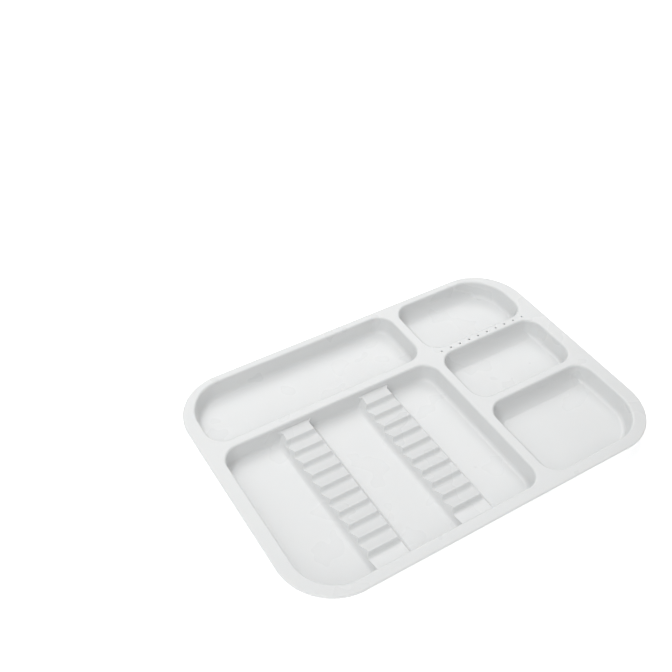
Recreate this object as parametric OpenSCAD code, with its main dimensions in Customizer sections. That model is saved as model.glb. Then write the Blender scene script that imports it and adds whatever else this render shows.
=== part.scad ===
// Divided instrument tray: one moulding with five compartments, two stepped
// instrument racks and a row of bur holes.
// Origin at the centre of the underside, +X along the long side, +Y to the back, +Z up.

/* [Tray] */
// Length of the rim along X
tray_l = 340; // [320:1:360]
// Width of the rim along Y
tray_w = 236; // [226:1:250]
// Overall height from the resting face to the deck
tray_h = 18; // [17:0.5:22]
// Outer corner radius of the rim
rim_r = 46; // [40:1:50]
// Thickness of the deck and rim
rim_t = 2.5; // [2:0.1:3.5]
// Rounding of the rim's outer edge
rim_edge_r = 1.1; // [0.6:0.1:1.2]

/* [Compartments] */
// Depth of the compartments below the deck
pocket_d = 15.5; // [14:0.5:15.5]
// Wall draft from vertical
draft = 9; // [5:0.5:12]
// Thickness of the compartment walls
wall_t = 2.2; // [1.8:0.1:2.6]
// Rounding where wall meets floor
floor_r = 4; // [3:0.5:5]
// Rounding of the opening edge
edge_r = 1.8; // [1:0.1:2.2]
// Corner radius of the compartments
corner_r = 15; // [12:0.5:17]
// Corner radius of a compartment that lies in an outer corner of the tray
outer_corner_r = 34; // [28:1:38]
// Radius of the wide cove at the back and left of the small compartments
cove_r = 12; // [8:1:14]

/* [Layout] */
// Width of the rim strip on the left
strip_left = 12; // [10:0.5:16]
// Width of the rim strip on the right
strip_right = 13; // [10:0.5:16]
// Width of the rim strip at the front
strip_front = 10; // [8:0.5:14]
// Width of the rim strip at the back
strip_back = 6.8; // [6:0.1:10]
// X of the middle of the long divider that runs front to back
split_x = 48; // [40:0.5:55]
// Width of the long divider
split_w = 9; // [8:0.5:12]
// Y of the middle of the cross divider that carries the bur holes
cross_y = 45.2; // [42:0.1:50]
// Width of the cross divider
cross_w = 8.5; // [8:0.5:10]
// Y of the middle of the short divider between the two front compartments on the right
short_y = -22.2; // [-30:0.1:-12]
// Width of the short divider
short_w = 7.7; // [7:0.1:10]

/* [Bur holes] */
// Number of bur holes
bur_n = 10; // [4:1:10]
// Bur hole diameter
bur_d = 2; // [1.6:0.1:2.6]
// Spacing of the bur holes
bur_pitch = 10; // [6:0.5:10]

/* [Racks] */
// Number of steps in each rack
step_n = 10; // [6:1:10]
// Spacing of the steps
step_pitch = 13.35; // [12:0.05:13.5]
// Height of a step from its foot to its crest
step_h = 5; // [4:0.1:6]
// Run of the steep face of a step
step_run = 1.5; // [0.8:0.1:2.5]
// Depth of the crests below the deck
crest_d = 7; // [6:0.1:8]
// Depth of the rear landing below the deck where it leaves the back wall
landing_d = 5.2; // [4:0.1:6]
// Distance from the compartment's back edge to the first crest
crest_back = 10.4; // [8:0.1:13]
// Width of a rack across its crests
rack_w = 25; // [20:0.5:28]
// Spread of each rack side between crest and floor
rack_side = 3.6; // [2:0.1:5]
// Radius of the cove along the foot of a rack side
side_foot_r = 4.5; // [3:0.5:5]
// Rise of the last tread from its foot to the front wall
end_rise = 2; // [0:0.5:4]
// X of the left rack
rack_left_x = -91; // [-100:0.5:-85]
// Distance between the two racks
rack_gap = 76; // [65:0.5:80]
// Rounding of a crest
crest_r = 0.9; // [0.5:0.1:1.2]
// Rounding at the foot of a step
foot_r = 2.2; // [1:0.1:2.8]
// Radius of the flare that joins a rack to the back wall
flare_r = 5; // [3:0.5:6]

/* [Hidden] */
$fn = 48;
corner_fn = 64;                       // roundness of the compartment corners
hole_fn = 24;                         // roundness of the bur holes
plastic = [0.93, 0.94, 0.94];
lap = 1;                              // overlap that keeps cuts clear of a shared face
eps = 0.01;                           // small overlap between joined blocks
dip = 0.12;                           // sinks a cove into wall and floor, so it meets them at an angle
deck_z = tray_h;
x_left = -tray_l/2 + strip_left;
x_right = tray_l/2 - strip_right;
y_front = -tray_w/2 + strip_front;
y_back = tray_w/2 - strip_back;
split_l = split_x - split_w/2;
split_r = split_x + split_w/2;
cross_f = cross_y - cross_w/2;
cross_b = cross_y + cross_w/2;
short_f = short_y - short_w/2;
short_b = short_y + short_w/2;
skin = wall_t/cos(draft);             // wall thickness measured along the deck
core_d = (pocket_d + tray_h)/2;       // depth of the middle of the floor
rack_xs = [rack_left_x, rack_left_x + rack_gap];
rack_drop = 1.35*wall_t;              // lowers the hollow under a rack to leave its top one wall thick
hollow_end = 2*wall_t;                // solid left at each end of the hollow under a rack

// compartment: [x0, x1, y0, y1, [front-left, front-right, back-right, back-left radii]]
long_back = [x_left, split_l, cross_b, y_back, [corner_r, corner_r, corner_r, outer_corner_r]];
small_back = [split_r, x_right, cross_b, y_back, [corner_r, corner_r, outer_corner_r, corner_r]];
small_mid = [split_r, x_right, short_b, cross_f, [corner_r, corner_r, corner_r, corner_r]];
small_front = [split_r, x_right, y_front, short_f,
               [corner_r, outer_corner_r, corner_r, corner_r]];
rack_bay = [x_left, split_l, y_front, cross_f, [outer_corner_r, corner_r, corner_r, corner_r]];
compartments = [long_back, small_back, small_mid, small_front, rack_bay];
tray_rim = [-tray_l/2, tray_l/2, -tray_w/2, tray_w/2, [rim_r, rim_r, rim_r, rim_r]];

// Section through one compartment wall. X is the distance outward from the opening edge,
// Y is the height above the deck. "out" moves the wall outward for the outside of the shell.
module wall_section(reach, out, depth, fillet, lip, top) {
    zf = fillet - depth;
    xf = out + zf*tan(draft) - fillet/cos(draft);
    wall_foot = [xf + fillet*cos(draft), zf - fillet*sin(draft)];
    xe = out + lip/cos(draft) - lip*tan(draft);
    wall_head = [xe - lip*cos(draft), -lip + lip*sin(draft)];
    head = lip > 0 ? [[xe, top], [xe, -lip], wall_head] : [[out + top*tan(draft), top]];
    union() {
        difference() {
            polygon(concat([[-reach, top]], head,
                           [wall_foot, [xf, zf], [xf, -depth], [-reach, -depth]]));
            if (lip > 0) translate([xe, -lip]) circle(r = lip);
        }
        translate([xf, zf]) circle(r = fillet);
    }
}

// Section through the rounded outer edge of the rim
module rim_section(reach) {
    translate([-reach, -rim_t + rim_edge_r]) square([reach, rim_t - 2*rim_edge_r]);
    translate([-reach, -rim_t]) square([reach - rim_edge_r, rim_t]);
    for (z = [-rim_edge_r, -rim_t + rim_edge_r]) translate([-rim_edge_r, z]) circle(r = rim_edge_r);
}

// Section of a solid: the outside of a compartment shell, its mid surface, a compartment or the rim
module section(kind, reach) {
    if (kind == "shell") wall_section(reach, skin, tray_h, floor_r + wall_t, 0, -rim_t/2);
    if (kind == "core") wall_section(reach, skin/2, core_d, floor_r + wall_t/2, 0, -edge_r);
    if (kind == "hollow") wall_section(reach, 0, pocket_d, floor_r, edge_r, lap);
    if (kind == "rim") rim_section(reach);
}

// Straight run of a section, which faces outward along +X
module run(kind, reach, length) {
    rotate([90, 0, 0]) mirror([0, 0, 1]) linear_extrude(height = length) section(kind, reach);
}

// Solid with a rounded rectangular plan whose sides all have the same section
module rounded_solid(kind, plan) {
    x0 = plan[0]; x1 = plan[1]; y0 = plan[2]; y1 = plan[3];
    r = plan[4];
    reach_f = max(r[0], r[1]);
    reach_r = max(r[1], r[2]);
    reach_b = max(r[2], r[3]);
    reach_l = max(r[3], r[0]);
    bottom = kind == "shell" ? -tray_h : kind == "core" ? -core_d : kind == "hollow" ? -pocket_d
           : -rim_t;
    top = kind == "shell" ? -rim_t/2 : kind == "core" ? -edge_r : kind == "hollow" ? lap : 0;
    translate([0, 0, deck_z]) union() {
        translate([x1, y0 + r[1], 0]) run(kind, reach_r, y1 - y0 - r[1] - r[2]);
        translate([x0, y1 - r[3], 0]) rotate(180) run(kind, reach_l, y1 - y0 - r[0] - r[3]);
        translate([x1 - r[2], y1, 0]) rotate(90) run(kind, reach_b, x1 - x0 - r[2] - r[3]);
        translate([x0 + r[0], y0, 0]) rotate(-90) run(kind, reach_f, x1 - x0 - r[0] - r[1]);
        translate([x0 + reach_l - eps, y0 + reach_f - eps, bottom])
            cube([x1 - x0 - reach_l - reach_r + 2*eps, y1 - y0 - reach_f - reach_b + 2*eps,
                  top - bottom]);
        for (c = [[x0 + r[0], y0 + r[0], 180, r[0]], [x1 - r[1], y0 + r[1], 270, r[1]],
                  [x1 - r[2], y1 - r[2], 0, r[2]], [x0 + r[3], y1 - r[3], 90, r[3]]])
            translate([c[0], c[1], 0]) rotate(c[2]) rotate_extrude(angle = 90, $fn = corner_fn)
                intersection() {
                    translate([c[3], 0]) section(kind, c[3]);
                    translate([0, -2*tray_h]) square([2*c[3], 4*tray_h]);
                }
    }
}

// Heights of the stepped top, measured from the deck; Y from the back edge of the bay
crest_y = [for (i = [0:step_n - 1]) -crest_back - i*step_pitch];
last_foot_y = crest_y[step_n - 1] - step_run;
last_wall_y = y_front - cross_f;
end_y = last_wall_y - 2*lap;
end_z = -crest_d - step_h + end_rise*(last_foot_y - end_y)/(last_foot_y - last_wall_y);

// One rounded corner of the stepped top: arc of radius r about the corner of two edges
function unit(v) = v/norm(v);
function corner_arc(a, p, b, r, n = 4) =
    let (u = unit(a - p), v = unit(b - p), half = acos(u*v)/2, back = r/tan(half),
         c = p + unit(u + v)*r/sin(half), s = p + u*back - c, e = p + v*back - c,
         a0 = atan2(s[1], s[0]), a1 = atan2(e[1], e[0]),
         turn = a1 - a0 > 180 ? a1 - a0 - 360 : a1 - a0 < -180 ? a1 - a0 + 360 : a1 - a0)
    [for (i = [0:n]) c + r*[cos(a0 + turn*i/n), sin(a0 + turn*i/n)]];

step_points = concat(
    [[lap, -landing_d + lap*(crest_d - landing_d)/crest_back]],
    [for (y = crest_y) each [[y, -crest_d], [y - step_run, -crest_d - step_h]]],
    [[end_y, end_z]]);
step_top = concat(
    [step_points[0]],
    [for (i = [1:len(step_points) - 2])
        each corner_arc(step_points[i - 1], step_points[i], step_points[i + 1],
                        i % 2 == 1 ? crest_r : foot_r)],
    [step_points[len(step_points) - 1]]);

crest_z = tray_h - crest_d;
side_slope = rack_side/(pocket_d - crest_d);
side_tilt = atan(side_slope);
landing_z = tray_h - landing_d;
function half_width(z) = rack_w/2 + (crest_z - z)*side_slope;

// Section across a rack, with sides that run out into the floor in a cove
module rack_section(z_low, z_high) {
    cove_z = tray_h - pocket_d + side_foot_r - dip;
    cove_x = half_width(cove_z) + side_foot_r/cos(side_tilt);
    half = [[cove_x, z_low], [cove_x, cove_z - side_foot_r],
            [cove_x - side_foot_r*cos(side_tilt), cove_z - side_foot_r*sin(side_tilt)],
            [half_width(z_high), z_high]];
    difference() {
        polygon(concat(half, [for (i = [3:-1:0]) [-half[i][0], half[i][1]]]));
        for (side = [-1, 1]) translate([side*cove_x, cove_z]) circle(r = side_foot_r);
    }
}

// Section across the hollow under a rack
module hollow_section(inset, z_low, z_high) {
    polygon([[-half_width(z_low) + inset, z_low], [half_width(z_low) - inset, z_low],
             [half_width(z_high) - inset, z_high], [-half_width(z_high) + inset, z_high]]);
}

// One rack on the Y axis. "inset" narrows it and "drop" lowers it for the hollow underneath.
module rack_body(inset, drop, y_low, y_high, z_low) {
    z_high = landing_z + lap;
    intersection() {
        translate([-rack_w, cross_f + inset/2, deck_z - drop]) rotate([90, 0, 90])
            linear_extrude(height = 2*rack_w)
                polygon(concat(step_top, [[end_y, -2*tray_h], [lap, -2*tray_h]]));
        union() {
            translate([0, y_high, 0]) rotate([90, 0, 0]) linear_extrude(height = y_high - y_low)
                if (inset == 0) rack_section(z_low, z_high);
                else hollow_section(inset, z_low, z_high);
            if (inset == 0) for (side = [0, 1]) mirror([side, 0, 0]) rack_flare(z_low);
        }
    }
}

// Upright cove where the side of a rack runs into the back wall of its bay
module rack_flare(z_low) {
    x = half_width(landing_z);
    y = cross_f - landing_d*tan(draft);
    translate([x, y - flare_r, z_low]) linear_extrude(height = landing_z + lap - z_low)
        difference() {
            translate([-flare_r, 0]) square([2*flare_r, flare_r + 2*lap]);
            translate([flare_r, 0]) circle(r = flare_r);
        }
}

// Wide cove along the back and left of a small compartment
module cove_section() {
    zc = cove_r - pocket_d;
    xc = zc*tan(draft) - cove_r/cos(draft);
    translate([xc + dip, zc - dip]) difference() {
        translate([0, -cove_r - lap]) square([cove_r + 2*lap, cove_r + lap]);
        circle(r = cove_r);
    }
}

module cove(plan) {
    r = plan[4][3];
    intersection() {
        rounded_solid("core", plan);
        translate([plan[0] + r, plan[3] - r, deck_z]) union() {
            rotate([90, 0, 0]) linear_extrude(height = plan[3] - plan[2] - r)
                mirror([1, 0]) translate([r, 0]) cove_section();
            rotate([90, 0, 90]) linear_extrude(height = plan[1] - plan[0] - r)
                translate([r, 0]) cove_section();
            rotate(90) rotate_extrude(angle = 90, $fn = corner_fn) translate([r, 0]) cove_section();
        }
    }
}

module tray() {
    color(plastic)
    difference() {
        union() {
            difference() {
                union() {
                    rounded_solid("rim", tray_rim);
                    for (c = compartments) rounded_solid("shell", c);
                }
                for (c = compartments) rounded_solid("hollow", c);
            }
            intersection() {
                rounded_solid("core", rack_bay);
                for (x = rack_xs) translate([x, 0, 0])
                    rack_body(0, 0, y_front - lap, cross_f + lap, 0);
            }
            for (c = [small_back, small_mid, small_front]) cove(c);
        }
        for (x = rack_xs) translate([x, 0, 0])
            rack_body(wall_t, rack_drop, y_front + hollow_end, cross_f - hollow_end, -lap);
        for (i = [0:bur_n - 1])
            translate([(split_r + x_right)/2 + (i - (bur_n - 1)/2)*bur_pitch, cross_y,
                       deck_z - rim_t - lap])
                cylinder(d = bur_d, h = rim_t + 2*lap, $fn = hole_fn);
    }
}

tray();
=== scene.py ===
import math
import bpy
from mathutils import Matrix, Vector

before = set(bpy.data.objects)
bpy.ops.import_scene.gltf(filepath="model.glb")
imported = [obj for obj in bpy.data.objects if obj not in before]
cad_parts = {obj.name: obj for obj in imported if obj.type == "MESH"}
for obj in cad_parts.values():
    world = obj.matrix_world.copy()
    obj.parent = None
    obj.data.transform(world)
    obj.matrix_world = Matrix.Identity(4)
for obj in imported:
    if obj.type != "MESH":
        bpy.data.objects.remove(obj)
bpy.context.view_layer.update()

MM = 0.001
WHITE = (1.0, 1.0, 1.0, 1.0)

# Camera: where it stands and how it looks, solved from the straight sides of the tray's rim
CAMERA_AT = Vector((-327.4, -387.6, 571.2)) * MM
LOOK_AZIMUTH = math.radians(32.618)     # from +Y towards +X
LOOK_DOWN = math.radians(43.213)
ROLL = math.radians(1.612)
LENS = 48.86
SENSOR_WIDTH = 36.0
CLIP_NEAR, CLIP_FAR = 0.01, 20.0

# Glossy white plastic: base colour, gloss and light passing just under the surface
PLASTIC_COLOUR = (0.79, 0.80, 0.80, 1.0)
PLASTIC_DIM = (0.783, 0.793, 0.794, 1.0)
PLASTIC_IOR = 1.49
SUBSURFACE = 0.25
SUBSURFACE_REACH = 2.0 * MM
SUBSURFACE_BY_COLOUR = (1.0, 0.95, 0.9)
ROUGH_LOW, ROUGH_HIGH = 0.26, 0.31

# Noise patterns of the plastic: features per metre, and levels of detail
TONE_NOISE = (14.0, 3.0)
GLOSS_NOISE = (25.0, 2.0)
PEEL_NOISE = (900.0, 2.0)
WAVE_NOISE = (30.0, 1.0)
NOISE_LOW, NOISE_HIGH = 0.3, 0.7        # the range where most of a noise pattern lies
PEEL_SHARE, WAVE_SHARE = 0.2, 0.8       # how the bump is made up
BUMP_STRENGTH = 0.2
BUMP_HEIGHT = 0.03 * MM

# Studio: pale floor that glows a little, even white surroundings and three large soft lights
WORLD_LIGHT = 0.35
FLOOR_COLOUR = (0.97, 0.97, 0.97, 1.0)
FLOOR_ROUGHNESS = 0.9
FLOOR_GLOW = 0.38
FLOOR_HALF = 6.0
FLOOR_Z = -0.1 * MM                     # just clear of the faces that the tray stands on
# name: where it stands, its width and height, and its watts; all three face the origin
LIGHTS = {
    "key": ((-0.30, 0.22, 1.2), (0.9, 0.9), 5.8),
    "back": ((0.50, 0.85, 1.0), (1.2, 0.8), 6.0),
    "fill": ((-0.95, -1.05, 0.9), (1.0, 1.0), 6.6),
}


def make_camera():
    forward = Vector((math.sin(LOOK_AZIMUTH) * math.cos(LOOK_DOWN),
                      math.cos(LOOK_AZIMUTH) * math.cos(LOOK_DOWN), -math.sin(LOOK_DOWN)))
    level = forward.cross(Vector((0, 0, 1))).normalized()
    upright = level.cross(forward)
    right = level * math.cos(ROLL) + upright * math.sin(ROLL)
    up = upright * math.cos(ROLL) - level * math.sin(ROLL)
    data = bpy.data.cameras.new("camera")
    data.sensor_width = SENSOR_WIDTH
    data.lens = LENS
    data.clip_start, data.clip_end = CLIP_NEAR, CLIP_FAR
    cam = bpy.data.objects.new("camera", data)
    cam.matrix_world = Matrix((right, up, -forward)).transposed().to_4x4()
    cam.location = CAMERA_AT
    bpy.context.collection.objects.link(cam)
    bpy.context.scene.camera = cam


def new_material(name):
    mat = bpy.data.materials.new(name)
    mat.use_nodes = True
    return mat, mat.node_tree.nodes["Principled BSDF"]


def plastic_material():
    mat, shader = new_material("tray_white_plastic")
    nodes, links = mat.node_tree.nodes, mat.node_tree.links
    shader.inputs["IOR"].default_value = PLASTIC_IOR
    shader.inputs["Subsurface Weight"].default_value = SUBSURFACE
    shader.inputs["Subsurface Radius"].default_value = SUBSURFACE_BY_COLOUR
    shader.inputs["Subsurface Scale"].default_value = SUBSURFACE_REACH
    place = nodes.new("ShaderNodeTexCoord")

    def noise(pattern, low, high):
        scale, detail = pattern
        source = nodes.new("ShaderNodeTexNoise")
        source.inputs["Scale"].default_value = scale
        source.inputs["Detail"].default_value = detail
        links.new(place.outputs["Object"], source.inputs["Vector"])
        spread = nodes.new("ShaderNodeMapRange")
        spread.clamp = False
        spread.inputs["From Min"].default_value = NOISE_LOW
        spread.inputs["From Max"].default_value = NOISE_HIGH
        spread.inputs["To Min"].default_value = low
        spread.inputs["To Max"].default_value = high
        links.new(source.outputs["Fac"], spread.inputs["Value"])
        return spread.outputs["Result"]

    # flow of the resin: broad, very faint changes of tone
    tone = nodes.new("ShaderNodeMix")
    tone.data_type = "RGBA"
    tone.inputs["A"].default_value = PLASTIC_DIM
    tone.inputs["B"].default_value = PLASTIC_COLOUR
    links.new(noise(TONE_NOISE, 0.0, 1.0), tone.inputs["Factor"])
    links.new(tone.outputs["Result"], shader.inputs["Base Color"])
    # polish of the mould: slow changes of gloss
    links.new(noise(GLOSS_NOISE, ROUGH_LOW, ROUGH_HIGH), shader.inputs["Roughness"])
    # fine orange peel over slow waviness
    height = nodes.new("ShaderNodeMath")
    height.operation = "ADD"
    links.new(noise(PEEL_NOISE, 0.0, PEEL_SHARE), height.inputs[0])
    links.new(noise(WAVE_NOISE, 0.0, WAVE_SHARE), height.inputs[1])
    bump = nodes.new("ShaderNodeBump")
    bump.inputs["Strength"].default_value = BUMP_STRENGTH
    bump.inputs["Distance"].default_value = BUMP_HEIGHT
    links.new(height.outputs[0], bump.inputs["Height"])
    links.new(bump.outputs["Normal"], shader.inputs["Normal"])
    return mat


def make_floor():
    corners = [(x * FLOOR_HALF, y * FLOOR_HALF, FLOOR_Z)
               for x, y in ((-1, -1), (1, -1), (1, 1), (-1, 1))]
    mesh = bpy.data.meshes.new("floor")
    mesh.from_pydata(corners, [], [(0, 1, 2, 3)])
    floor = bpy.data.objects.new("floor", mesh)
    bpy.context.collection.objects.link(floor)
    mat, shader = new_material("floor_white")
    shader.inputs["Base Color"].default_value = FLOOR_COLOUR
    shader.inputs["Roughness"].default_value = FLOOR_ROUGHNESS
    shader.inputs["Emission Color"].default_value = WHITE
    shader.inputs["Emission Strength"].default_value = FLOOR_GLOW
    mesh.materials.append(mat)


def light_studio():
    world = bpy.data.worlds.new("studio")
    bpy.context.scene.world = world
    world.use_nodes = True
    background = world.node_tree.nodes["Background"]
    background.inputs["Color"].default_value = WHITE
    background.inputs["Strength"].default_value = WORLD_LIGHT
    for name, (at, size, watts) in LIGHTS.items():
        data = bpy.data.lights.new(name, "AREA")
        data.shape = "RECTANGLE"
        data.size, data.size_y = size
        data.energy = watts
        light = bpy.data.objects.new(name, data)
        light.location = at
        light.rotation_euler = (-Vector(at)).to_track_quat("-Z", "Y").to_euler()
        bpy.context.collection.objects.link(light)


make_camera()
make_floor()
light_studio()
bpy.context.scene.view_settings.view_transform = "Standard"
plastic = plastic_material()
for slot in bpy.data.objects["tray"].material_slots:
    slot.material = plastic
